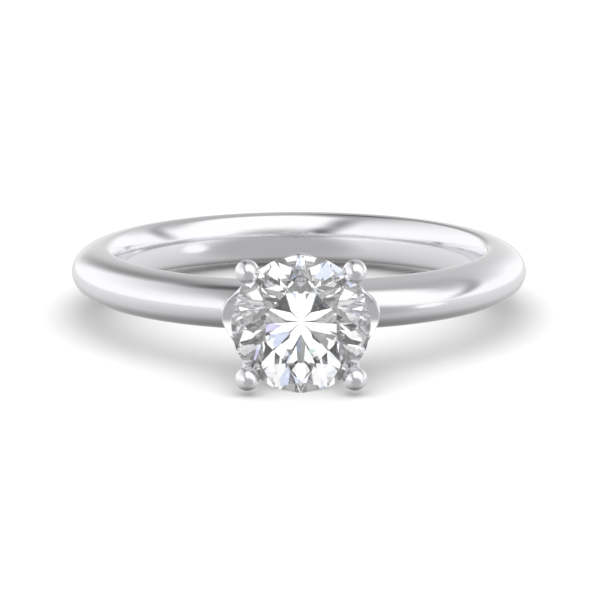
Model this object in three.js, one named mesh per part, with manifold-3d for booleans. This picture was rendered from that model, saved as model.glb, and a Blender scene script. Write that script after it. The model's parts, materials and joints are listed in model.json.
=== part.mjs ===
// A solitaire engagement ring: a plain rounded band, a claw-set round brilliant stone, and the small
// head between them, with two shoulder petals, four ball-tipped claws and two gallery rails.
// Lengths are in millimetres. In the ring's own frame the stone faces -Y and the finger axis is Z.
import * as THREE from 'three';
import { mergeVertices } from 'three/addons/utils/BufferGeometryUtils.js';
import Module from 'manifold-3d';

const wasm = await Module();
wasm.setup();

// Band: a court section, a deep half-ellipse outside and a shallow comfort-fit one inside.
const BORE_RADIUS = 7.85;
const BAND_THICKNESS = 1.98;
const BAND_WIDTH = 2.16;
const INSIDE_DEPTH = 0.55;
const BAND_STEPS = 108;
const PROFILE_STEPS = 20;

// Stone: a round brilliant with a steep pavilion, given as fractions of its diameter.
const STONE_DIAMETER = 5.9;
const GIRDLE_HEIGHT = 12.95;
const TABLE_FRACTION = 0.55;
const STAR_TIP_FRACTION = 0.81;
const CROWN_FRACTION = 0.16;
const GIRDLE_FRACTION = 0.012;
const PAVILION_FRACTION = 0.5;
const LOWER_HALF_FRACTION = 0.2;

// Claws: round wires that end in balls over the girdle.
const CLAW_RADIUS = 0.38;
const BALL_RADIUS = 0.52;
const BALL_X = 2.28;
const BALL_Z = 2.3;
const BALL_HEIGHT = 13.2;
const CLAW_PATH = [[2.15, 10.2, 0.5], [2.2, 10.9, 1.0], [2.09, 12.0, 1.62], [BALL_X, BALL_HEIGHT, BALL_Z]];
const CLAW_STEPS = 12;
const CLAW_SIDES = 10;
const BALL_SIDES = 16;
const BALL_RINGS = 12;

// Petals: tulip-shaped shoulders that widen upwards into the claws. They are hollowed under the stone,
// and an arch is cut down between their two claws.
const PETAL = { x: 2.2, foot: 9.3, top: 12.1, footHalfZ: 0.95, topHalfZ: 1.8, bulge: 1.2, bulgeAt: 0.4 };
const PETAL_FLARE_POWER = 2.2;
const PETAL_BULGE_SPREAD = 1.8;
const PETAL_HOLLOW_RADIUS = 2.3;
const PETAL_ARCH = { height: 12.5, halfZ: 1.25, depth: 1.5 };
const PETAL_STEPS = 22;
const PETAL_SIDES = 32;
const CUTTER_SIDES = 48;

// Rails: one scalloped wire under the girdle and one oval wire on the band.
const GALLERY = { radius: 2.12, height: 11.6, wire: 0.25, peakOut: 0.58, peakUp: 0.62, sharpness: 1.25 };
const BASE_RAIL = { halfX: 1.9, halfZ: 0.8, wire: 0.28 };
const RAIL_SIDES = 8;
const GALLERY_STEPS = 64;
const BASE_RAIL_STEPS = 36;

// Pieces that are soldered or set against each other keep this much air between them.
const SEAM = 0.02;

const OUTER_RADIUS = BORE_RADIUS + BAND_THICKNESS;
const STONE_RADIUS = STONE_DIAMETER / 2;
const FOLDS = 8;
const FOLD_OFFSET = 0.5;
const CORNERS = [[-1, 1], [1, 1], [-1, -1], [1, -1]];

const WHITE_GOLD = { color: 0xdedee0, roughness: 0.12, metalness: 1 };
const POLISHED_WIRE = { color: 0xe6e6e8, roughness: 0.1, metalness: 1 };
const DIAMOND = { color: 0xf4f7ff, roughness: 0, metalness: 0 };

// A point of the head: x across the finger, height out from the bore's centre, z along the finger.
const headPoint = (x, height, z) => new THREE.Vector3(x, -height, z);

function toSolid(geometry) {
  const bare = geometry.clone();
  bare.deleteAttribute('normal');
  bare.deleteAttribute('uv');
  const merged = mergeVertices(bare, 1e-4);
  return new wasm.Manifold(new wasm.Mesh({
    numProp: 3,
    vertProperties: new Float32Array(merged.attributes.position.array),
    triVerts: new Uint32Array(merged.index.array),
  }));
}

function toGeometry(solid) {
  const mesh = solid.getMesh();
  const geometry = new THREE.BufferGeometry();
  geometry.setAttribute('position', new THREE.BufferAttribute(mesh.vertProperties, 3));
  geometry.setIndex(new THREE.BufferAttribute(mesh.triVerts, 1));
  geometry.computeVertexNormals();
  return geometry;
}

// The band's section as points of radius and z, grown outwards by the given amount.
function bandProfile(grow) {
  const points = [];
  for (let step = 0; step <= PROFILE_STEPS; step += 1) {
    const turn = (2 * Math.PI * (step % PROFILE_STEPS)) / PROFILE_STEPS;
    const depth = Math.cos(turn) > 0 ? BAND_THICKNESS - INSIDE_DEPTH : INSIDE_DEPTH;
    const radius = BORE_RADIUS + INSIDE_DEPTH + (depth + grow) * Math.cos(turn);
    points.push(new THREE.Vector2(radius, (BAND_WIDTH / 2 + grow) * Math.sin(turn)));
  }
  return points;
}

function bandGeometry(grow) {
  const geometry = new THREE.LatheGeometry(bandProfile(grow), BAND_STEPS);
  return geometry.rotateX(Math.PI / 2);
}

// A torus bent to follow a path: path(angle) gives the wire's centre and the direction away from the hole.
function railGeometry(path, wire, turnSteps) {
  const mould = 10;
  const geometry = new THREE.TorusGeometry(mould, wire, RAIL_SIDES, turnSteps);
  const position = geometry.attributes.position;
  for (let index = 0; index < position.count; index += 1) {
    const x = position.getX(index);
    const y = position.getY(index);
    const { centre, outward } = path(Math.atan2(y, x));
    const out = Math.hypot(x, y) - mould;
    const place = centre.clone().addScaledVector(outward, out).add(headPoint(0, position.getZ(index), 0));
    position.setXYZ(index, place.x, place.y, place.z);
  }
  return geometry;
}

function galleryPath(angle) {
  const peak = 1 - Math.abs(Math.sin(2 * angle)) ** GALLERY.sharpness;
  const radius = GALLERY.radius + GALLERY.peakOut * peak;
  const height = GALLERY.height + GALLERY.peakUp * peak;
  const outward = new THREE.Vector3(Math.cos(angle), 0, Math.sin(angle));
  return { centre: headPoint(radius * outward.x, height, radius * outward.z), outward };
}

function baseRailPath(angle) {
  const x = BASE_RAIL.halfX * Math.cos(angle);
  const z = BASE_RAIL.halfZ * Math.sin(angle);
  const saddle = OUTER_RADIUS + BASE_RAIL.wire + SEAM;
  const outward = new THREE.Vector3(BASE_RAIL.halfZ * Math.cos(angle), 0, BASE_RAIL.halfX * Math.sin(angle));
  return { centre: headPoint(x, Math.sqrt(saddle ** 2 - x ** 2), z), outward: outward.normalize() };
}

// The outer form of a shoulder petal, before it is hollowed and arched: a stack of ellipses that widen
// along z from foot to top, and bulge along x below the middle.
function petalForm(side, grow) {
  const geometry = new THREE.CylinderGeometry(1, 1, 1, PETAL_SIDES, PETAL_STEPS);
  const position = geometry.attributes.position;
  for (let index = 0; index < position.count; index += 1) {
    const rise = position.getY(index) + 0.5;
    const bulge = PETAL.bulge * Math.cos(PETAL_BULGE_SPREAD * (rise - PETAL.bulgeAt)) + grow;
    const flare = (PETAL.topHalfZ - PETAL.footHalfZ) * rise ** PETAL_FLARE_POWER;
    const height = PETAL.foot + (PETAL.top - PETAL.foot) * rise + (rise > 0.5 ? grow : -grow);
    const x = side * PETAL.x + bulge * position.getX(index);
    const z = (PETAL.footHalfZ + flare + grow) * position.getZ(index);
    position.setXYZ(index, x, -height, z);
  }
  geometry.index.array.reverse();
  return geometry;
}

function petalArch() {
  const geometry = new THREE.CylinderGeometry(1, 1, 6 * PETAL.x, CUTTER_SIDES);
  geometry.rotateZ(Math.PI / 2);
  geometry.scale(1, PETAL_ARCH.depth, PETAL_ARCH.halfZ);
  return geometry.translate(0, -PETAL_ARCH.height, 0);
}

// The gallery rail is let into the inside of both petals.
function petalGeometry(side) {
  const depth = 2 * (PETAL.top - PETAL.foot);
  const hollow = new THREE.CylinderGeometry(PETAL_HOLLOW_RADIUS, PETAL_HOLLOW_RADIUS, depth, CUTTER_SIDES);
  hollow.translate(0, -(PETAL.foot + PETAL.top) / 2, 0);
  const railSlot = railGeometry(galleryPath, GALLERY.wire + SEAM, GALLERY_STEPS);
  let petal = toSolid(petalForm(side, 0)).subtract(toSolid(bandGeometry(SEAM)));
  for (const cutter of [hollow, petalArch(), railSlot]) {
    petal = petal.subtract(toSolid(cutter));
  }
  return toGeometry(petal);
}

// Facet corners around the stone. Folds are eighths of a turn, and +X lies midway between two of them.
const around = (radius, fold, height) => {
  const angle = (2 * Math.PI * (fold + FOLD_OFFSET)) / FOLDS;
  return headPoint(radius * Math.cos(angle), height, radius * Math.sin(angle));
};

// Height of the upper plane through a table corner and the girdle, at a given radius along its middle.
function crownHeight(radius, girdleTop, tableTop, tableRadius) {
  const slope = (tableTop - girdleTop) / (STONE_RADIUS - tableRadius);
  return girdleTop + slope * (STONE_RADIUS - radius);
}

// A round brilliant: table, 8 stars, 8 kites, 16 upper halves, a girdle band, 16 lower halves, 8 mains.
function stoneGeometry(grow) {
  const girdleTop = GIRDLE_HEIGHT + (STONE_DIAMETER * GIRDLE_FRACTION) / 2;
  const girdleBottom = GIRDLE_HEIGHT - (STONE_DIAMETER * GIRDLE_FRACTION) / 2;
  const tableTop = girdleTop + STONE_DIAMETER * CROWN_FRACTION;
  const culet = girdleBottom - STONE_DIAMETER * PAVILION_FRACTION;
  const tableRadius = STONE_RADIUS * TABLE_FRACTION;
  const starRadius = STONE_RADIUS * STAR_TIP_FRACTION;
  const halfFold = Math.cos(Math.PI / FOLDS);
  const starTop = crownHeight(starRadius * halfFold, girdleTop, tableTop, tableRadius);
  const lowerRadius = STONE_RADIUS * LOWER_HALF_FRACTION;
  const mainSlope = (girdleBottom - culet) / STONE_RADIUS;
  const lowerTip = culet + mainSlope * lowerRadius * halfFold;
  const faces = [];
  const top = headPoint(0, tableTop, 0);
  const bottom = headPoint(0, culet, 0);
  for (let fold = 0; fold < FOLDS; fold += 1) {
    const table = around(tableRadius, fold, tableTop);
    const tableNext = around(tableRadius, fold + 1, tableTop);
    const star = around(starRadius, fold + 0.5, starTop);
    const starBefore = around(starRadius, fold - 0.5, starTop);
    const lower = around(lowerRadius, fold + 0.5, lowerTip);
    const lowerBefore = around(lowerRadius, fold - 0.5, lowerTip);
    const rim = [fold, fold + 0.5, fold + 1].map((turn) => around(STONE_RADIUS, turn, girdleTop));
    const keel = [fold, fold + 0.5, fold + 1].map((turn) => around(STONE_RADIUS, turn, girdleBottom));
    faces.push([top, table, tableNext], [table, star, tableNext]);
    faces.push([table, rim[0], star], [table, starBefore, rim[0]]);
    faces.push([star, rim[0], rim[1]], [star, rim[1], rim[2]]);
    faces.push([lower, keel[1], keel[0]], [lower, keel[2], keel[1]]);
    faces.push([bottom, lower, keel[0]], [bottom, keel[0], lowerBefore]);
    for (let half = 0; half < 2; half += 1) {
      faces.push([rim[half], keel[half], keel[half + 1]], [rim[half], keel[half + 1], rim[half + 1]]);
    }
  }
  const geometry = new THREE.BufferGeometry();
  geometry.setFromPoints(faces.flat());
  geometry.translate(0, GIRDLE_HEIGHT, 0);
  geometry.scale(1 + grow / STONE_RADIUS, 1 + grow / STONE_RADIUS, 1 + grow / STONE_RADIUS);
  geometry.translate(0, -GIRDLE_HEIGHT, 0);
  const merged = mergeVertices(geometry, 1e-5);
  merged.computeVertexNormals();
  return merged;
}

function clawWire(sideX, sideZ, grow) {
  const centres = CLAW_PATH.map(([x, height, z]) => headPoint(sideX * x, height, sideZ * z));
  const path = new THREE.CatmullRomCurve3(centres);
  const section = new THREE.Shape();
  section.absarc(0, 0, CLAW_RADIUS + grow, 0, 2 * Math.PI);
  return new THREE.ExtrudeGeometry(section, {
    extrudePath: path,
    steps: CLAW_STEPS,
    curveSegments: CLAW_SIDES,
  });
}

// A claw stands on its petal, and its ball is notched where it grips the stone's girdle.
function clawGeometry(sideX, sideZ) {
  const ball = new THREE.SphereGeometry(BALL_RADIUS, BALL_SIDES, BALL_RINGS);
  ball.translate(sideX * BALL_X, -BALL_HEIGHT, sideZ * BALL_Z);
  const claw = toSolid(clawWire(sideX, sideZ, 0)).add(toSolid(ball));
  return toGeometry(claw.subtract(toSolid(petalForm(sideX, SEAM))).subtract(toSolid(stoneGeometry(SEAM))));
}

// The gallery rail is filed to fit against the inside of each claw.
function galleryGeometry() {
  let rail = toSolid(railGeometry(galleryPath, GALLERY.wire, GALLERY_STEPS));
  for (const [sideX, sideZ] of CORNERS) {
    rail = rail.subtract(toSolid(clawWire(sideX, sideZ, SEAM)));
  }
  return toGeometry(rail);
}

// The ring lies on a table on its two lower balls and on the lower edge of the band's far side. This is
// the tilt of the finger axis from upright that brings those places to one level.
function restingTilt() {
  let tilt = 0;
  for (let pass = 0; pass < 20; pass += 1) {
    const cos = Math.cos(tilt);
    const sin = Math.sin(tilt);
    const bandLow = Math.min(...bandProfile(0).map((point) => point.y * cos - point.x * sin));
    const ballLow = BALL_HEIGHT * sin - BALL_Z * cos - BALL_RADIUS;
    tilt += (bandLow - ballLow) / (BALL_HEIGHT + BORE_RADIUS);
  }
  return tilt;
}

const ring = new THREE.Group();

function addPiece(name, geometry, finish) {
  const mesh = new THREE.Mesh(geometry, new THREE.MeshStandardMaterial(finish));
  mesh.name = name;
  ring.add(mesh);
}

addPiece('shank', bandGeometry(0), WHITE_GOLD);
addPiece('shoulder_petal_left', petalGeometry(-1), WHITE_GOLD);
addPiece('shoulder_petal_right', petalGeometry(1), WHITE_GOLD);
for (const [sideX, sideZ] of CORNERS) {
  const name = `claw_${sideZ > 0 ? 'upper' : 'lower'}_${sideX > 0 ? 'right' : 'left'}`;
  addPiece(name, clawGeometry(sideX, sideZ), POLISHED_WIRE);
}
addPiece('gallery_rail', galleryGeometry(), POLISHED_WIRE);
addPiece('base_rail', railGeometry(baseRailPath, BASE_RAIL.wire, BASE_RAIL_STEPS), POLISHED_WIRE);
addPiece('diamond', stoneGeometry(0), DIAMOND);

ring.rotation.x = -restingTilt();

const group = new THREE.Group();
group.add(ring);

export default group;
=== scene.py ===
# %% [markdown]
# # A solitaire engagement ring
# The ring is already measured and packed as plain solids, and this lesson gives it its looks. It is a
# good first jewellery subject: one mirror-polished metal, one clear stone and almost no clutter, so
# everything depends on clean curves and on what the studio puts around them. The lean, the band's
# size, the stone's width and table height and the petals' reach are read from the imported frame, in
# metres. The rest repeats the dimensions that the plain solids were built with, so the fine pieces
# land on the plain ones. Only the claws differ a little, because they taper here.

# %% Load the frame
import json
import math

import bmesh
import bpy
from mathutils import Matrix, Vector


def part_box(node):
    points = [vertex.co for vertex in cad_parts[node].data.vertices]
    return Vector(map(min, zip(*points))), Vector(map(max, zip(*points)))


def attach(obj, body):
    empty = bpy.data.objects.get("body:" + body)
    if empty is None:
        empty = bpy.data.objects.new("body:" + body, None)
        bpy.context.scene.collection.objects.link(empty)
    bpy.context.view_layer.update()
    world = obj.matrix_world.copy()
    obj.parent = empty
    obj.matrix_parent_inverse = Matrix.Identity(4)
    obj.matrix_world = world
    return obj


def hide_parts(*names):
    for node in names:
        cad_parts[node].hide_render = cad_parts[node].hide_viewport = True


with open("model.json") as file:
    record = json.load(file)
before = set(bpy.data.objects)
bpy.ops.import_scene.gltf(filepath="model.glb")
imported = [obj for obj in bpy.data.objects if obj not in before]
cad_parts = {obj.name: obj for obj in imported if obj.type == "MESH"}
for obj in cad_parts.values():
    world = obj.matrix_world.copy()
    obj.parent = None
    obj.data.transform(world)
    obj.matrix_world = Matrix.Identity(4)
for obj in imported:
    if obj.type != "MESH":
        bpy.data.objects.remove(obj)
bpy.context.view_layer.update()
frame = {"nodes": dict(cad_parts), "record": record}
MM = 0.001
print("pieces in the frame:", ", ".join(sorted(frame["nodes"])))

# %% [markdown]
# ## The ring's own axes
# The ring lies on a table and leans on two of its claws, so nothing in it is square to the world. It
# could be drawn leaning from the start, but every circle would then need three coordinates of its own.
# It is easier to draw it upright and lean each finished mesh. The mount of the finger bore holds the
# lean, because its axis is the finger's axis. A point of the head is given as x across, rise out from
# the bore's centre towards the stone, and z along the finger.

# %% Ring axes
mounts = {mount["name"]: mount for mount in frame["record"]["mounts"]}
finger_axis = Vector(mounts["finger_bore"]["axis"]).normalized()
lean = math.atan2(finger_axis.y, finger_axis.z)
to_table = Matrix.Rotation(-lean, 4, "X")
from_table = to_table.inverted()
bore_radius = mounts["finger_bore"]["dims"]["r_mm"] * MM
band_width = mounts["finger_bore"]["dims"]["length_mm"] * MM
outer_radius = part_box("shank")[1].x
table_rise = -(from_table @ Vector(mounts["stone_table"]["pos_m"])).y
stone_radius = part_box("diamond")[1].x

HEAD_AXIS = Vector((0, 1, 0))
CUT_CREASE = math.radians(35)


def head_point(x, rise, z):
    """A point of the upright ring: x across, rise out towards the stone, z along the finger."""
    return Vector((x, -rise, z))


print(f"lean {math.degrees(lean):.2f} degrees")
print(f"bore {2 * bore_radius / MM:.2f} mm, ring {2 * outer_radius / MM:.2f} mm across")

# %% [markdown]
# ## Helpers for making a piece
# Nearly every metal piece here is a wire: a section carried along a path. `sweep` skins a list of
# section loops, closed into a ring for the band and the rails, or capped for a claw. `new_piece` turns
# a build function into an object, leans it with the ring and shades it smooth, with a crease kept
# wherever two faces meet at more than a given angle. `carve` cuts one shape out of another, where the
# goldsmith would use a bur or a file. `fit` lets the finished piece stand for its plain solid.

# %% Mesh helpers
def new_piece(name, build, materials, crease=math.radians(40)):
    """Makes a piece from build(bm), leans it with the ring and gives it its finish."""
    bm = bmesh.new()
    build(bm)
    bmesh.ops.recalc_face_normals(bm, faces=bm.faces)
    bm.transform(to_table)
    mesh = bpy.data.meshes.new(name)
    bm.to_mesh(mesh)
    bm.free()
    for material in materials:
        mesh.materials.append(material)
    piece = bpy.data.objects.new(name, mesh)
    bpy.context.scene.collection.objects.link(piece)
    smooth_with_creases(piece, crease)
    print(f"{name}: {len(mesh.polygons)} faces")
    return piece


def smooth_with_creases(piece, crease):
    """Shades a piece smooth, apart from the edges that are sharper than the crease angle."""
    piece.data.shade_smooth()
    piece.data.set_sharp_from_angle(angle=crease)


def sweep(bm, rings, closed):
    """Skins a list of equal loops of points. A closed sweep joins the last loop to the first."""
    loops = [[bm.verts.new(point) for point in ring] for ring in rings]
    pairs = list(zip(loops, loops[1:]))
    if closed:
        pairs.append((loops[-1], loops[0]))
    for here, there in pairs:
        for index in range(len(here)):
            after = (index + 1) % len(here)
            bm.faces.new((here[index], here[after], there[after], there[index]))
    if not closed:
        bm.faces.new(loops[0])
        bm.faces.new(loops[-1])


def circle_around(centre, along, radius, sides):
    """A loop of points around a wire's centre, square to the direction that the wire runs in."""
    side = along.cross(Vector((1, 0, 0))).normalized()
    other = along.cross(side).normalized()
    turns = [2 * math.pi * step / sides for step in range(sides)]
    return [centre + radius * (math.cos(turn) * side + math.sin(turn) * other) for turn in turns]


def carve(piece, build_cutter):
    """Takes the shape that build_cutter(bm) makes away from a piece, as a bur or a file would."""
    cutter = new_piece(piece.name + "_cutter", build_cutter, [])
    cut = piece.modifiers.new("cut", "BOOLEAN")
    cut.operation = "DIFFERENCE"
    cut.object = cutter
    ready = piece.evaluated_get(bpy.context.evaluated_depsgraph_get())
    carved = bpy.data.meshes.new_from_object(ready)
    piece.modifiers.clear()
    piece.data = carved
    bpy.data.objects.remove(cutter)


def fit(piece, node):
    """Lets a finished piece stand for a plain solid of the frame."""
    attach(piece, "root")
    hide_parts(node)


# %% [markdown]
# ## Polished metal
# White gold is plated with rhodium and buffed to a mirror. A perfect mirror looks like plastic foil,
# because a real one always keeps two traces of the buffing wheel: hair-fine lines that run one way, and
# a slow unevenness, where the wheel pressed harder, that blurs the reflection slightly. Both could be
# painted on, but the ring has no flat side to paint. One node group draws them in the object's own
# space, and every metal on the ring uses it with its own values.

# %% Buffing group
def add_input(group, name, value, socket="NodeSocketFloat"):
    made = group.interface.new_socket(name, in_out="INPUT", socket_type=socket)
    made.default_value = value
    return made


def ranged(nodes, links, source, low, high, start=0.0, end=1.0):
    """Maps a 0 to 1 value to a new range, given as numbers or as sockets."""
    node = nodes.new("ShaderNodeMapRange")
    node.inputs["From Min"].default_value = start
    node.inputs["From Max"].default_value = end
    for socket, value in (("To Min", low), ("To Max", high)):
        if isinstance(value, bpy.types.NodeSocket):
            links.new(value, node.inputs[socket])
        else:
            node.inputs[socket].default_value = value
    links.new(source, node.inputs["Value"])
    return node.outputs["Result"]


LINE_STRETCH = 14
BUFF_LINES_PER_METRE = 9000
HAZE_SPOTS_PER_METRE = 320
BUMP_HEIGHT = 0.001 * MM

buffing = bpy.data.node_groups.new("buffing_marks", "ShaderNodeTree")
add_input(buffing, "Color", (0.9, 0.9, 0.9, 1), "NodeSocketColor")
add_input(buffing, "Haze Color", (0.8, 0.8, 0.8, 1), "NodeSocketColor")
add_input(buffing, "Line Scale", 1.0)
add_input(buffing, "Smoothest", 0.02)
add_input(buffing, "Dullest", 0.06)
for name, socket in (("Color", "Color"), ("Roughness", "Float"), ("Height", "Float")):
    buffing.interface.new_socket(name, in_out="OUTPUT", socket_type="NodeSocket" + socket)

nodes = buffing.nodes
links = buffing.links
group_in = nodes.new("NodeGroupInput")
group_out = nodes.new("NodeGroupOutput")
place = nodes.new("ShaderNodeTexCoord")
stretch = nodes.new("ShaderNodeMapping")
stretch.inputs["Scale"].default_value = (1, 1, LINE_STRETCH)
links.new(place.outputs["Object"], stretch.inputs["Vector"])

scale = nodes.new("ShaderNodeMath")
scale.operation = "MULTIPLY"
scale.inputs[1].default_value = BUFF_LINES_PER_METRE
links.new(group_in.outputs["Line Scale"], scale.inputs[0])
lines = nodes.new("ShaderNodeTexNoise")
lines.inputs["Detail"].default_value = 3
links.new(stretch.outputs["Vector"], lines.inputs["Vector"])
links.new(scale.outputs["Value"], lines.inputs["Scale"])

haze = nodes.new("ShaderNodeTexNoise")
haze.inputs["Scale"].default_value = HAZE_SPOTS_PER_METRE
haze.inputs["Detail"].default_value = 2
links.new(place.outputs["Object"], haze.inputs["Vector"])
haze_mask = ranged(nodes, links, haze.outputs["Fac"], 0.0, 1.0, 0.35, 0.75)
line_mask = ranged(nodes, links, lines.outputs["Fac"], 0.0, 1.0, 0.3, 0.7)

wear = nodes.new("ShaderNodeMath")
wear.operation = "MULTIPLY"
links.new(haze_mask, wear.inputs[0])
links.new(line_mask, wear.inputs[1])
tone = nodes.new("ShaderNodeMix")
tone.data_type = "RGBA"
links.new(wear.outputs["Value"], tone.inputs["Factor"])
links.new(group_in.outputs["Color"], tone.inputs["A"])
links.new(group_in.outputs["Haze Color"], tone.inputs["B"])
links.new(tone.outputs["Result"], group_out.inputs["Color"])
roughness = ranged(
    nodes, links, wear.outputs["Value"], group_in.outputs["Smoothest"], group_in.outputs["Dullest"]
)
links.new(roughness, group_out.inputs["Roughness"])
links.new(line_mask, group_out.inputs["Height"])
print("buffing group:", len(nodes), "nodes")

# %% [markdown]
# ## Two metal finishes
# The band is buffed on the big wheel, so it is the smoothest. The head is too small for the wheel and
# is polished with threads and a little brush, which leaves finer and less even lines. The ball tips
# belong to the head and share its finish. The bump is a fraction of a micrometre high: enough to
# soften a highlight's edge in a close view, and too little to bend a reflection.

# %% Metal materials
def polished_metal(name, color, haze_color, line_scale, smoothest, dullest, bump):
    material = bpy.data.materials.new(name)
    material.use_nodes = True
    nodes = material.node_tree.nodes
    links = material.node_tree.links
    shader = nodes["Principled BSDF"]
    shader.inputs["Metallic"].default_value = 1
    marks = nodes.new("ShaderNodeGroup")
    marks.node_tree = buffing
    marks.inputs["Color"].default_value = (*color, 1)
    marks.inputs["Haze Color"].default_value = (*haze_color, 1)
    marks.inputs["Line Scale"].default_value = line_scale
    marks.inputs["Smoothest"].default_value = smoothest
    marks.inputs["Dullest"].default_value = dullest
    relief = nodes.new("ShaderNodeBump")
    relief.inputs["Strength"].default_value = bump
    relief.inputs["Distance"].default_value = BUMP_HEIGHT
    links.new(marks.outputs["Color"], shader.inputs["Base Color"])
    links.new(marks.outputs["Roughness"], shader.inputs["Roughness"])
    links.new(marks.outputs["Height"], relief.inputs["Height"])
    links.new(relief.outputs["Normal"], shader.inputs["Normal"])
    print(f"{name}: roughness {smoothest} to {dullest}")
    return material


RHODIUM = (0.905, 0.9, 0.925)
RHODIUM_HAZE = (0.87, 0.865, 0.89)
wheel_polish = polished_metal("rhodium_wheel_polish", RHODIUM, RHODIUM_HAZE, 1.0, 0.03, 0.07, 0.3)
thread_polish = polished_metal("rhodium_thread_polish", RHODIUM, RHODIUM_HAZE, 1.6, 0.035, 0.09, 0.4)

# %% [markdown]
# ## Diamond
# A diamond is clear, so everything seen in it is the studio, bent and mirrored by the facets. The
# Principled shader with full transmission and an index of 2.417 does this honestly, and the path
# tracer only needs enough bounces. The facets get a trace of unevenness, far below what a loupe shows.
# The girdle, the narrow belt that the claws grip, is ground and not polished, so it is frosted.

# %% Diamond materials
DIAMOND_IOR = 2.417


def stone_material(name, smoothest, dullest, grain_scale, bump):
    material = bpy.data.materials.new(name)
    material.use_nodes = True
    nodes = material.node_tree.nodes
    links = material.node_tree.links
    shader = nodes["Principled BSDF"]
    shader.inputs["Base Color"].default_value = (1, 1, 1, 1)
    shader.inputs["Metallic"].default_value = 0
    shader.inputs["Transmission Weight"].default_value = 1
    shader.inputs["IOR"].default_value = DIAMOND_IOR
    place = nodes.new("ShaderNodeTexCoord")
    grain = nodes.new("ShaderNodeTexNoise")
    grain.inputs["Scale"].default_value = grain_scale
    grain.inputs["Detail"].default_value = 2
    relief = nodes.new("ShaderNodeBump")
    relief.inputs["Strength"].default_value = bump
    relief.inputs["Distance"].default_value = BUMP_HEIGHT
    links.new(place.outputs["Object"], grain.inputs["Vector"])
    links.new(ranged(nodes, links, grain.outputs["Fac"], smoothest, dullest), shader.inputs["Roughness"])
    links.new(grain.outputs["Fac"], relief.inputs["Height"])
    links.new(relief.outputs["Normal"], shader.inputs["Normal"])
    print(f"{name}: index {DIAMOND_IOR}")
    return material


facet_polish = stone_material("diamond_facets", 0.0, 0.004, 400, 0.01)
bruted_girdle = stone_material("diamond_bruted_girdle", 0.18, 0.4, 30000, 0.6)

# %% [markdown]
# ## Band
# The band, or shank, is an oval wire drawn through a plate, bent round a mandrel and soldered shut.
# Its outside is a deep curve and its inside a shallow one, which jewellers call a court or comfort-fit
# section, because it slides over the knuckle. A torus primitive has a round section only, and a curve
# with a bevel object hides the numbers, so the section is a formula: two half-ellipses that share
# their widest point. It needs many turns, because a mirror shows every flat.

# %% Band section
BAND_TURNS = 360
SECTION_POINTS = 80
INSIDE_DEPTH = 0.55 * MM


def band_section():
    """The band's section as (radius, z) points: half an ellipse outside, a shallower one inside."""
    widest = bore_radius + INSIDE_DEPTH
    points = []
    for step in range(SECTION_POINTS):
        turn = 2 * math.pi * step / SECTION_POINTS
        reach = outer_radius - widest if math.cos(turn) > 0 else INSIDE_DEPTH
        points.append((widest + reach * math.cos(turn), band_width / 2 * math.sin(turn)))
    return points


# %% Band
def build_band(bm):
    rings = []
    for step in range(BAND_TURNS):
        turn = 2 * math.pi * step / BAND_TURNS
        rings.append([
            Vector((radius * math.cos(turn), radius * math.sin(turn), z)) for radius, z in band_section()
        ])
    sweep(bm, rings, closed=True)


band = new_piece("band", build_band, [wheel_polish])
fit(band, "shank")

# %% [markdown]
# ## Shoulder petals
# On each side of the stone a petal stands on the band, widens upwards like a tulip and carries two
# claws. The goldsmith casts it as a solid bud, bores it out under the stone so that light can reach the
# pavilion, and files an arch down between its two claws. It is made here the same way. The bud is a
# stack of ellipses, and the two cutters are a straight bore down the head's axis and an oval tunnel
# across it. The frame's boxes give the petal's reach, so it always meets its plain solid.

# %% Petal shape
PETAL_CENTRE_X = 2.2 * MM
PETAL_FOOT = 9.3 * MM
PETAL_TOP = 12.1 * MM
PETAL_FOOT_HALF_Z = 0.95 * MM
PETAL_TOP_HALF_Z = 1.8 * MM
PETAL_FLARE_POWER = 2.2
PETAL_BULGE_AT = 0.4
PETAL_BULGE_SPREAD = 1.8
PETAL_HOLLOW_RADIUS = 2.3 * MM
PETAL_RINGS = 64
PETAL_SIDES = 128
BORE_SIDES = 180
ARCH_SIDES = 120
CUTTER_SPARE = 1 * MM
SOFT_EDGE = 0.04 * MM
ARCH_TOP = 12.5 * MM
ARCH_DEPTH = 1.5 * MM
ARCH_HALF_Z = 1.25 * MM
petal_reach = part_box("shoulder_petal_right")[1].x - PETAL_CENTRE_X


def petal_ring(side, part):
    """One level of the bud. The part runs from 0 at the foot to 1 at the top."""
    bulge = petal_reach * math.cos(PETAL_BULGE_SPREAD * (part - PETAL_BULGE_AT))
    half_z = PETAL_FOOT_HALF_Z + (PETAL_TOP_HALF_Z - PETAL_FOOT_HALF_Z) * part ** PETAL_FLARE_POWER
    height = PETAL_FOOT + (PETAL_TOP - PETAL_FOOT) * part
    points = []
    for step in range(PETAL_SIDES):
        angle = 2 * math.pi * step / PETAL_SIDES
        across = side * PETAL_CENTRE_X + bulge * math.cos(angle)
        points.append(head_point(across, height, half_z * math.sin(angle)))
    return points


def build_bore(bm):
    ends = [head_point(0, rise, 0) for rise in (PETAL_FOOT - CUTTER_SPARE, PETAL_TOP + CUTTER_SPARE)]
    rings = [circle_around(centre, HEAD_AXIS, PETAL_HOLLOW_RADIUS, BORE_SIDES) for centre in ends]
    sweep(bm, rings, closed=False)


def build_arch(bm):
    """An oval tunnel across the head, open above the petals."""
    turns = [2 * math.pi * step / ARCH_SIDES for step in range(ARCH_SIDES)]
    oval = [(ARCH_TOP + ARCH_DEPTH * math.cos(turn), ARCH_HALF_Z * math.sin(turn)) for turn in turns]
    ends = (-2 * PETAL_CENTRE_X, 2 * PETAL_CENTRE_X)
    sweep(bm, [[head_point(x, rise, z) for rise, z in oval] for x in ends], closed=False)


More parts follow.
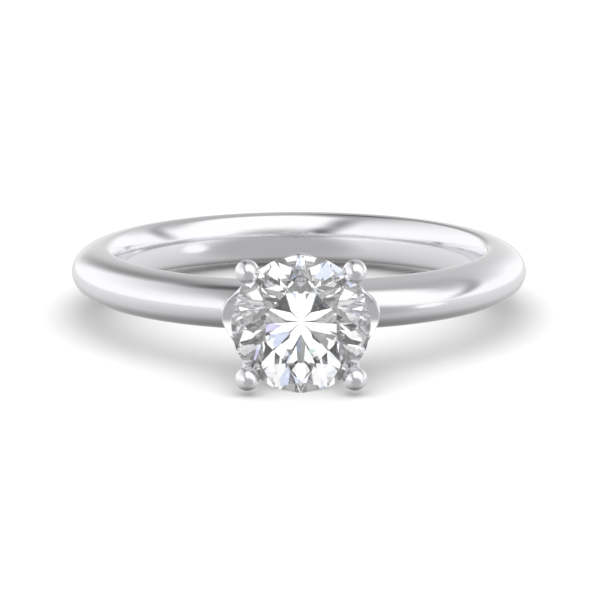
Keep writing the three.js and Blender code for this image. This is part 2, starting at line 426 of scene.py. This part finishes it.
# %% Petals
def make_petal(side, word):
    def build(bm):
        sweep(bm, [petal_ring(side, step / PETAL_RINGS) for step in range(PETAL_RINGS + 1)], closed=False)

    petal = new_piece("petal_" + word, build, [thread_polish])
    carve(petal, build_bore)
    carve(petal, build_arch)
    soften = petal.modifiers.new("soft_edges", "BEVEL")
    soften.width = SOFT_EDGE
    soften.segments = 3
    soften.limit_method = "ANGLE"
    soften.angle_limit = CUT_CREASE
    smooth_with_creases(petal, CUT_CREASE)
    fit(petal, "shoulder_petal_" + word)
    return petal


petals = [make_petal(-1, "left"), make_petal(1, "right")]
print("petals:", [len(petal.data.polygons) for petal in petals], "faces after boring and filing")

# %% [markdown]
# ## Cutting the stone
# A round brilliant has 57 facets at set angles. Typing in its corners gives a stone with a straight
# sided girdle, while the real girdle is round and meets each facet in a little scallop. So the stone
# is cut as a lapidary cuts it. It starts as a round blank, and each facet is a plane that grinds part
# of it away: the table, 8 stars, 8 kites and 16 upper halves above, 16 lower halves and 8 mains below.
# Each plane is held by three points that the proportions give. The pavilion is steep, 45 degrees, so
# much of the light that comes in through the table is thrown straight back. The finished stone casts no
# shade, because a real one lets the light through and a path tracer without caustics would block it.

# %% Stone proportions
TABLE_FRACTION = 0.55
STAR_TIP_FRACTION = 0.81
CROWN_FRACTION = 0.16
GIRDLE_FRACTION = 0.012
PAVILION_FRACTION = 0.5
LOWER_HALF_FRACTION = 0.2
FOLDS = 8
FOLD_OFFSET = 0.5
BLANK_SIDES = 192

diameter = 2 * stone_radius
girdle_top = table_rise - CROWN_FRACTION * diameter
girdle_bottom = girdle_top - GIRDLE_FRACTION * diameter
girdle_middle = (girdle_top + girdle_bottom) / 2
culet = girdle_bottom - PAVILION_FRACTION * diameter
table_radius = TABLE_FRACTION * stone_radius
star_radius = STAR_TIP_FRACTION * stone_radius
crown_slope = (table_rise - girdle_top) / (stone_radius - table_radius)
pavilion_slope = (girdle_bottom - culet) / stone_radius
half_fold = math.cos(math.pi / FOLDS)
star_rise = girdle_top + crown_slope * (stone_radius - star_radius * half_fold)
lower_radius = LOWER_HALF_FRACTION * stone_radius
lower_rise = culet + pavilion_slope * lower_radius * half_fold
crown_angle = math.degrees(math.atan(crown_slope))
pavilion_angle = math.degrees(math.atan(pavilion_slope))
print(f"crown {crown_angle:.1f} and pavilion {pavilion_angle:.1f} degrees")


def around(radius, fold, rise):
    """A corner of the stone: folds are eighths of a turn, and +X lies midway between two of them."""
    angle = 2 * math.pi * (fold + FOLD_OFFSET) / FOLDS
    return head_point(radius * math.cos(angle), rise, radius * math.sin(angle))


# %% Grind the facets
def grind(bm, corners):
    """Takes away all that lies outside the plane through three corners, and closes the cut."""
    first, second, third = corners
    outward = (second - first).cross(third - first).normalized()
    if outward.dot(first - head_point(0, girdle_middle, 0)) < 0:
        outward.negate()
    everything = bm.verts[:] + bm.edges[:] + bm.faces[:]
    cut = bmesh.ops.bisect_plane(
        bm, geom=everything, dist=1e-9, plane_co=first, plane_no=outward, clear_outer=True
    )
    rim = [part for part in cut["geom_cut"] if isinstance(part, bmesh.types.BMEdge)]
    bmesh.ops.holes_fill(bm, edges=rim, sides=0)


def build_stone(bm):
    ends = [head_point(0, rise, 0) for rise in (culet, table_rise)]
    blank = [circle_around(centre, HEAD_AXIS, stone_radius, BLANK_SIDES) for centre in ends]
    sweep(bm, blank, closed=False)
    for fold in range(FOLDS):
        table_corner = around(table_radius, fold, table_rise)
        next_corner = around(table_radius, fold + 1, table_rise)
        star = around(star_radius, fold + 0.5, star_rise)
        star_before = around(star_radius, fold - 0.5, star_rise)
        keel = around(stone_radius, fold, girdle_top)
        lower = around(lower_radius, fold + 0.5, lower_rise)
        lower_before = around(lower_radius, fold - 0.5, lower_rise)
        grind(bm, (keel, star_before, star))
        grind(bm, (table_corner, star, next_corner))
        grind(bm, (head_point(0, culet, 0), lower_before, lower))
        for half in (0, 1):
            middle = around(stone_radius, fold + 0.5, girdle_top)
            grind(bm, (star, around(stone_radius, fold + half, girdle_top), middle))
            below = around(stone_radius, fold + 0.5, girdle_bottom)
            grind(bm, (lower, around(stone_radius, fold + half, girdle_bottom), below))


# %% Diamond
stone = new_piece("diamond_stone", build_stone, [facet_polish, bruted_girdle])
stone.data.shade_flat()
stone_axis = to_table.to_3x3() @ Vector((0, -1, 0))
SQUARE_TO_AXIS = 0.1
girdle_faces = 0
for face in stone.data.polygons:
    if abs(face.normal.dot(stone_axis)) < SQUARE_TO_AXIS:
        face.material_index = 1
        girdle_faces += 1
fit(stone, "diamond")
stone.visible_diffuse = False
stone.visible_shadow = False
print(len(stone.data.polygons) - girdle_faces, "facets and", girdle_faces, "girdle faces")

# %% [markdown]
# ## Claws
# Each claw is a round wire that climbs out of the petal and ends in a ball. The jeweller leaves the wire
# long, cuts a seat for the girdle, bends the end over the stone and burnishes it to a ball with a cup
# bur. A cylinder with a sphere stuck on shows a hard line between them, so the claw is one sweep whose
# radius changes on the way: a wire that thins a little, then a neck, then the ball, drawn as a circle
# seen from the side. The seat is carved last, from the stone itself.

# %% Claw path
CLAW_FOOT_RADIUS = 0.42 * MM
CLAW_NECK_RADIUS = 0.33 * MM
BALL_RADIUS = 0.52 * MM
CLAW_SIDES = 40
WIRE_STEPS = 36
BALL_STEPS = 40
SEAT_GAP = 0.01 * MM
CLAW_PATH = [(2.15, 10.2, 0.5), (2.2, 10.9, 1.0), (2.09, 12.0, 1.62), (2.28, 13.2, 2.3)]


def curve_through(points, t):
    """A smooth curve through evenly timed points: the usual Catmull-Rom blend of four neighbours."""
    spans = len(points) - 1
    span = min(int(t * spans), spans - 1)
    u = t * spans - span
    before = points[span - 1] if span > 0 else 2 * points[0] - points[1]
    after = points[span + 2] if span + 2 <= spans else 2 * points[-1] - points[-2]
    start = points[span]
    end = points[span + 1]
    return 0.5 * (
        2 * start + (end - before) * u + (2 * before - 5 * start + 4 * end - after) * u ** 2
        + (3 * start - before - 3 * end + after) * u ** 3
    )


# %% Claws
def claw_rings(side_x, side_z):
    path = [head_point(side_x * x * MM, rise * MM, side_z * z * MM) for x, rise, z in CLAW_PATH]
    ball = path[-1]
    rings = []
    for step in range(WIRE_STEPS):
        t = step / WIRE_STEPS
        centre = curve_through(path, t)
        along = (curve_through(path, t + 0.01) - centre).normalized()
        radius = CLAW_FOOT_RADIUS + (CLAW_NECK_RADIUS - CLAW_FOOT_RADIUS) * t
        if (ball - centre).length > BALL_RADIUS * 0.9:
            rings.append(circle_around(centre, along, radius, CLAW_SIDES))
    along = (ball - path[-2]).normalized()
    start = math.asin(CLAW_NECK_RADIUS / BALL_RADIUS)
    for step in range(BALL_STEPS):
        turn = start + (math.pi - start) * step / BALL_STEPS
        centre = ball - along * BALL_RADIUS * math.cos(turn)
        rings.append(circle_around(centre, along, BALL_RADIUS * math.sin(turn), CLAW_SIDES))
    return rings


def make_claw(side_x, side_z):
    name = f"claw_{'upper' if side_z > 0 else 'lower'}_{'right' if side_x > 0 else 'left'}"

    def build_seat(bm):
        build_stone(bm)
        centre = head_point(0, girdle_middle, 0)
        grow = 1 + SEAT_GAP / stone_radius
        about_centre = Matrix.Translation(-centre)
        bmesh.ops.transform(bm, matrix=Matrix.Scale(grow, 4), space=about_centre, verts=bm.verts)

    def build_wire(bm):
        sweep(bm, claw_rings(side_x, side_z), closed=False)

    claw = new_piece(name + "_wire", build_wire, [thread_polish])
    carve(claw, build_seat)
    smooth_with_creases(claw, CUT_CREASE)
    fit(claw, name)
    return claw


claws = [make_claw(side_x, side_z) for side_x in (-1, 1) for side_z in (-1, 1)]
print("claws:", [len(claw.data.polygons) for claw in claws], "faces with their seats")

# %% [markdown]
# ## Rails
# Two wires tie the head together. The gallery rail runs under the girdle and rises to a point between
# the claws on all four sides, and one of its peaks shows just above the stone. The base rail is a
# saddle-shaped oval that sits on the band and joins the feet of the petals. Both are one closed sweep
# of a circle along a formula.

# %% Rail paths
GALLERY_RADIUS = 2.12 * MM
GALLERY_RISE = 11.6 * MM
GALLERY_WIRE = 0.25 * MM
PEAK_OUT = 0.58 * MM
PEAK_UP = 0.62 * MM
PEAK_SHARPNESS = 1.25
BASE_HALF_X = 1.9 * MM
BASE_HALF_Z = 0.8 * MM
BASE_WIRE = 0.28 * MM
RAIL_GAP = 0.02 * MM
RAIL_STEPS = 240
RAIL_SIDES = 24


def gallery_path(angle):
    peak = 1 - abs(math.sin(2 * angle)) ** PEAK_SHARPNESS
    radius = GALLERY_RADIUS + PEAK_OUT * peak
    return head_point(radius * math.cos(angle), GALLERY_RISE + PEAK_UP * peak, radius * math.sin(angle))


def base_path(angle):
    x = BASE_HALF_X * math.cos(angle)
    saddle = outer_radius + BASE_WIRE + RAIL_GAP
    return head_point(x, math.sqrt(saddle ** 2 - x ** 2), BASE_HALF_Z * math.sin(angle))


# %% Rails
def rail_rings(path, wire):
    """Circles along a closed path. Each keeps one axis in the head's plane, so the wire never twists."""
    rings = []
    for step in range(RAIL_STEPS):
        angle = 2 * math.pi * step / RAIL_STEPS
        centre = path(angle)
        along = (path(angle + 0.01) - path(angle - 0.01)).normalized()
        outward = HEAD_AXIS.cross(along).normalized()
        upward = along.cross(outward)
        turns = [2 * math.pi * side / RAIL_SIDES for side in range(RAIL_SIDES)]
        rings.append([
            centre + wire * (math.cos(turn) * outward + math.sin(turn) * upward) for turn in turns
        ])
    return rings


def make_rail(name, node, path, wire):
    def build(bm):
        sweep(bm, rail_rings(path, wire), closed=True)

    fit(new_piece(name, build, [thread_polish]), node)


make_rail("gallery_wire", "gallery_rail", gallery_path, GALLERY_WIRE)
make_rail("base_wire", "base_rail", base_path, BASE_WIRE)

# %% [markdown]
# ## Table top
# The ring lies on a plain white table. It is large, so that its edge is never seen, and it is hidden
# from mirror and glass rays: what the underside of the ring reflects is set in the studio below, where
# it can be shaded evenly.

# %% Table top
TABLE_HALF = 1.5
PAPER_WHITE = (0.9, 0.9, 0.905, 1)
lowest = min(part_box(node)[0].z for node in frame["nodes"])
floor_mesh = bpy.data.meshes.new("table_top")
corners = [(-1, -1), (1, -1), (1, 1), (-1, 1)]
floor_mesh.from_pydata([(x * TABLE_HALF, y * TABLE_HALF, lowest) for x, y in corners], [], [(0, 1, 2, 3)])
floor = bpy.data.objects.new("table_top", floor_mesh)
bpy.context.scene.collection.objects.link(floor)
floor.visible_glossy = False
floor.visible_transmission = False

paper = bpy.data.materials.new("table_paper")
paper.use_nodes = True
paper_shader = paper.node_tree.nodes["Principled BSDF"]
paper_shader.inputs["Base Color"].default_value = PAPER_WHITE
paper_shader.inputs["Roughness"].default_value = 0.9
paper_shader.inputs["Specular IOR Level"].default_value = 0
floor_mesh.materials.append(paper)
print(f"table top at {lowest / MM:.2f} mm")

# %% [markdown]
# ## Camera
# Jewellery is shot with a long lens from well back, so that the band stays an even oval. The camera
# looks along the table at the stone, ten degrees above the ring's own plane. The ring leans towards
# it, so the lean is added to reach the angle above the table.

# %% Camera
CAMERA_DISTANCE = 0.614
CAMERA_RISE = math.radians(10.15)
CAMERA_SIDE = math.radians(0.39)
AIM_DROP = math.radians(0.12)
AIM_ACROSS = 0.047 * MM
FRAME_WIDTH = 25.966 * MM
camera_data = bpy.data.cameras.new("camera")
camera = bpy.data.objects.new("camera", camera_data)
bpy.context.scene.collection.objects.link(camera)
bpy.context.scene.camera = camera
camera_data.sensor_width = 36
camera_data.lens = camera_data.sensor_width * CAMERA_DISTANCE / FRAME_WIDTH
rise = CAMERA_RISE + lean
level = math.cos(rise)
away = Vector((-math.sin(CAMERA_SIDE) * level, -math.cos(CAMERA_SIDE) * level, math.sin(rise)))
camera.location = away * CAMERA_DISTANCE
aim = Vector((AIM_ACROSS, 0, -CAMERA_DISTANCE * math.tan(AIM_DROP) / math.cos(rise)))
camera.rotation_mode = "QUATERNION"
camera.rotation_quaternion = (aim - camera.location).to_track_quat("-Z", "Y")
camera_data.clip_start = 0.01
camera_data.clip_end = 20
print(f"lens {camera_data.lens:.0f} mm, {math.degrees(rise):.1f} degrees above the table")

# %% [markdown]
# ## Studio cards
# A mirror shows only what stands around it, so lighting a ring is mostly arranging white and grey
# cards. Real cards would also stand in the way of other views, so they are drawn in the world shader,
# by direction. The group makes one card: a soft-edged oval seen in a given direction, as a mask. Its
# centre, its sideways axis and its upward axis are worked out from an azimuth, measured from the front
# and positive to the right, and an elevation above the table.

# %% Card group
card = bpy.data.node_groups.new("studio_card", "ShaderNodeTree")
for name in ("Direction", "Centre", "Sideways", "Upward"):
    add_input(card, name, (0, 0, 0), "NodeSocketVector")
add_input(card, "Softness", 0.5)
card.interface.new_socket("Mask", in_out="OUTPUT", socket_type="NodeSocketFloat")
nodes = card.nodes
links = card.links
card_in = nodes.new("NodeGroupInput")
card_out = nodes.new("NodeGroupOutput")


def math_node(nodes, links, operation, first, second=None):
    node = nodes.new("ShaderNodeMath")
    node.operation = operation
    for index, value in enumerate((first, second)):
        if isinstance(value, bpy.types.NodeSocket):
            links.new(value, node.inputs[index])
        elif value is not None:
            node.inputs[index].default_value = value
    return node.outputs["Value"]


def dot_node(nodes, links, first, second):
    node = nodes.new("ShaderNodeVectorMath")
    node.operation = "DOT_PRODUCT"
    links.new(first, node.inputs[0])
    links.new(second, node.inputs[1])
    return node.outputs["Value"]


ahead = dot_node(nodes, links, card_in.outputs["Direction"], card_in.outputs["Centre"])
sideways = dot_node(nodes, links, card_in.outputs["Direction"], card_in.outputs["Sideways"])
upward = dot_node(nodes, links, card_in.outputs["Direction"], card_in.outputs["Upward"])
in_front = math_node(nodes, links, "MAXIMUM", ahead, 0.001)
across = math_node(nodes, links, "POWER", math_node(nodes, links, "DIVIDE", sideways, in_front), 2)
along = math_node(nodes, links, "POWER", math_node(nodes, links, "DIVIDE", upward, in_front), 2)
reach = math_node(nodes, links, "SQRT", math_node(nodes, links, "ADD", across, along))
inner = math_node(nodes, links, "SUBTRACT", 1.0, card_in.outputs["Softness"])
outer = math_node(nodes, links, "ADD", 1.0, card_in.outputs["Softness"])
edge = nodes.new("ShaderNodeMapRange")
edge.interpolation_type = "SMOOTHSTEP"
edge.inputs["To Min"].default_value = 1
edge.inputs["To Max"].default_value = 0
links.new(reach, edge.inputs["Value"])
links.new(inner, edge.inputs["From Min"])
links.new(outer, edge.inputs["From Max"])
links.new(edge.outputs["Result"], card_out.inputs["Mask"])
print("card group:", len(nodes), "nodes")

# %% World helpers
world = bpy.data.worlds.new("studio")
bpy.context.scene.world = world
world.use_nodes = True
nodes = world.node_tree.nodes
links = world.node_tree.links
direction = nodes.new("ShaderNodeTexCoord").outputs["Generated"]


def sky(stops):
    """A backdrop that changes with elevation: stops of (degrees, brightness)."""
    split = nodes.new("ShaderNodeSeparateXYZ")
    links.new(direction, split.inputs["Vector"])
    angle = math_node(nodes, links, "ARCSINE", split.outputs["Z"])
    ramp = nodes.new("ShaderNodeValToRGB")
    ramp.color_ramp.interpolation = "LINEAR"
    half_turn = math_node(nodes, links, "MULTIPLY_ADD", angle, 1 / math.pi)
    half_turn.node.inputs[2].default_value = 0.5
    links.new(half_turn, ramp.inputs["Fac"])
    while len(ramp.color_ramp.elements) < len(stops):
        ramp.color_ramp.elements.new(0.5)
    for element, (degrees, brightness) in zip(ramp.color_ramp.elements, stops):
        element.position = (degrees + 90) / 180
        element.color = (brightness, brightness, brightness, 1)
    return ramp.outputs["Color"]


def add_card(backdrop, azimuth, elevation, half_width, half_height, softness, color, tilt=0):
    """Lays one card over a backdrop. All angles are in degrees, and the tilt turns the card clockwise."""
    a = math.radians(azimuth)
    e = math.radians(elevation)
    t = math.radians(tilt)
    centre = Vector((math.sin(a) * math.cos(e), -math.cos(a) * math.cos(e), math.sin(e)))
    level = Vector((math.cos(a), math.sin(a), 0))
    vertical = level.cross(-centre).normalized()
    if vertical.z < 0:
        vertical.negate()
    sideways = math.cos(t) * level - math.sin(t) * vertical
    upward = math.sin(t) * level + math.cos(t) * vertical
    node = nodes.new("ShaderNodeGroup")
    node.node_tree = card
    links.new(direction, node.inputs["Direction"])
    node.inputs["Centre"].default_value = centre
    node.inputs["Sideways"].default_value = sideways / math.tan(math.radians(half_width))
    node.inputs["Upward"].default_value = upward / math.tan(math.radians(half_height))
    node.inputs["Softness"].default_value = softness
    mix = nodes.new("ShaderNodeMix")
    mix.data_type = "RGBA"
    links.new(node.outputs["Mask"], mix.inputs["Factor"])
    links.new(backdrop, mix.inputs["A"])
    mix.inputs["B"].default_value = (*color, 1)
    return mix.outputs["Result"]


def grey(brightness):
    return (brightness, brightness, brightness)


# %% [markdown]
# ## What the metal sees
# The metal needs a slow fall from a bright horizon to a darker ceiling, two big white key cards at the
# front right, and a few soft dark flags that draw the grey streaks without which white metal looks
# like white plastic. Below the horizon the table darkens towards the ring's own shade.

# %% Cards for the metal
METAL_SKY = [
    (-90, 0.3), (-70, 0.42), (-48, 0.6), (-25, 0.74), (-8, 0.84), (-3, 1.08),
    (15, 1.08), (32, 0.97), (48, 0.76), (64, 0.5), (74, 0.36), (90, 0.5),
]
metal_view = sky(METAL_SKY)
METAL_CARDS = [
    # azimuth, elevation, half width, half height, softness, brightness, tilt
    (150, 52, 38, 24, 0.9, 0.48, 0),
    (-178, 34, 20, 34, 0.8, 0.55, 0),
    (-157, 42, 8, 34, 0.9, 0.3, 14),
    (-150, 64, 10, 9, 0.9, 0.12, 0),
    (180, -60, 26, 34, 0.9, 0.22, 0),
    (28, 56, 42, 32, 0.4, 1.15, 0),
    (50, 25, 34, 20, 0.4, 1.12, 0),
    (106, 22, 5, 26, 0.9, 0.4, 50),
    (14, -28, 44, 38, 0.45, 0.47, 0),
    (12, 4, 24, 15, 0.8, 0.48, 0),
    (-31, 37, 7, 30, 0.9, 0.36, -25),
    (-14, 12, 7, 10, 0.9, 0.2, -20),
    (70, -17, 9, 9, 0.25, 1.08, 0),
]
for azimuth, elevation, half_width, half_height, softness, brightness, tilt in METAL_CARDS:
    metal_view = add_card(
        metal_view, azimuth, elevation, half_width, half_height, softness, grey(brightness), tilt
    )
print("cards for the metal:", len(METAL_CARDS))

# %% [markdown]
# ## What the stone sees
# A diamond needs harder contrast than metal. Under an even white light it looks like ice, and it only
# comes alive when some of its facets find white and others dark. So glass rays get a room of their
# own: a dark one with a bright floor and nearly hard-edged cards. The white cards stand in rings round
# the viewer, because the facets throw the light back in steps, and grey ones keep some facets soft. A
# few small cards carry the pale blue, violet, green and rose that a real diamond splits from white.

# %% Cards for the stone
STONE_SKY = [
    (-90, 1.35), (-50, 1.3), (-34, 1.3), (-29, 0.06), (-10, 0.03),
    (20, 0.04), (34, 0.14), (58, 0.2), (90, 0.6),
]
stone_view = sky(STONE_SKY)
WHITE = (1.5, 1.5, 1.52)
ICE_BLUE = (0.86, 0.95, 1.2)
VIOLET = (0.7, 0.66, 1.0)
ROSE = (1.2, 0.95, 1.0)
SEA_GREEN = (0.55, 0.75, 0.7)
SOFT_GREY = (0.4, 0.4, 0.4)
BLUE_GREY = (0.33, 0.38, 0.5)
STONE_CARDS = [
    # azimuth, elevation, half width, half height, softness, color
    (0, 25, 12, 8, 0.12, SOFT_GREY),
    (0, 6, 12, 14, 0.12, WHITE),
    (-4, -5, 14, 5, 0.12, WHITE),
    (14, 0, 5, 5, 0.12, WHITE),
    (-24, 18, 6, 7, 0.12, BLUE_GREY),
    (24, 18, 6, 7, 0.12, SOFT_GREY),
    (-36, 6, 7, 11, 0.12, WHITE),
    (36, 6, 7, 11, 0.12, WHITE),
    (-48, -13, 9, 6, 0.12, WHITE),
    (48, -13, 9, 6, 0.12, WHITE),
    (-67, 0, 11, 19, 0.12, WHITE),
    (67, 0, 11, 19, 0.12, WHITE),
    (22, 38, 10, 6, 0.12, WHITE),
    (-28, 36, 7, 5, 0.12, ICE_BLUE),
    (-62, -64, 34, 14, 0.3, ICE_BLUE),
    (-40, -38, 12, 5, 0.2, ICE_BLUE),
    (-8, -8, 2, 2, 0.15, VIOLET),
    (-7, 24, 3, 3, 0.15, ICE_BLUE),
    (10, 17, 1.5, 2, 0.15, ROSE),
    (38, 10, 3, 4, 0.15, ROSE),
    (25, -21, 7, 4, 0.15, SEA_GREEN),
    (-42, 60, 10, 6, 0.15, VIOLET),
]
for azimuth, elevation, half_width, half_height, softness, color in STONE_CARDS:
    stone_view = add_card(stone_view, azimuth, elevation, half_width, half_height, softness, color)
print("cards for the stone:", len(STONE_CARDS))

# %% [markdown]
# ## One world, four kinds of ray
# The Light Path node tells the world who is asking. Camera rays get plain white, so the table melts
# into the background. Diffuse rays get an even dome, which lays the soft shade straight under the
# ring. Glass rays get the stone's room and all the others the metal's.

# %% World
DOME_STRENGTH = 1.5
light_path = nodes.new("ShaderNodeLightPath")
choice = metal_view
for test, color in (
    ("Is Transmission Ray", stone_view),
    ("Is Diffuse Ray", grey(DOME_STRENGTH)),
    ("Is Camera Ray", grey(1.0)),
):
    mix = nodes.new("ShaderNodeMix")
    mix.data_type = "RGBA"
    links.new(light_path.outputs[test], mix.inputs["Factor"])
    links.new(choice, mix.inputs["A"])
    if isinstance(color, bpy.types.NodeSocket):
        links.new(color, mix.inputs["B"])
    else:
        mix.inputs["B"].default_value = (*color, 1)
    choice = mix.outputs["Result"]
links.new(choice, nodes["Background"].inputs["Color"])

scene = bpy.context.scene
scene.view_settings.view_transform = "Standard"
scene.cycles.max_bounces = 24
scene.cycles.transmission_bounces = 24
scene.cycles.glossy_bounces = 12
scene.cycles.caustics_reflective = False
scene.cycles.caustics_refractive = False
print("world nodes:", len(nodes))
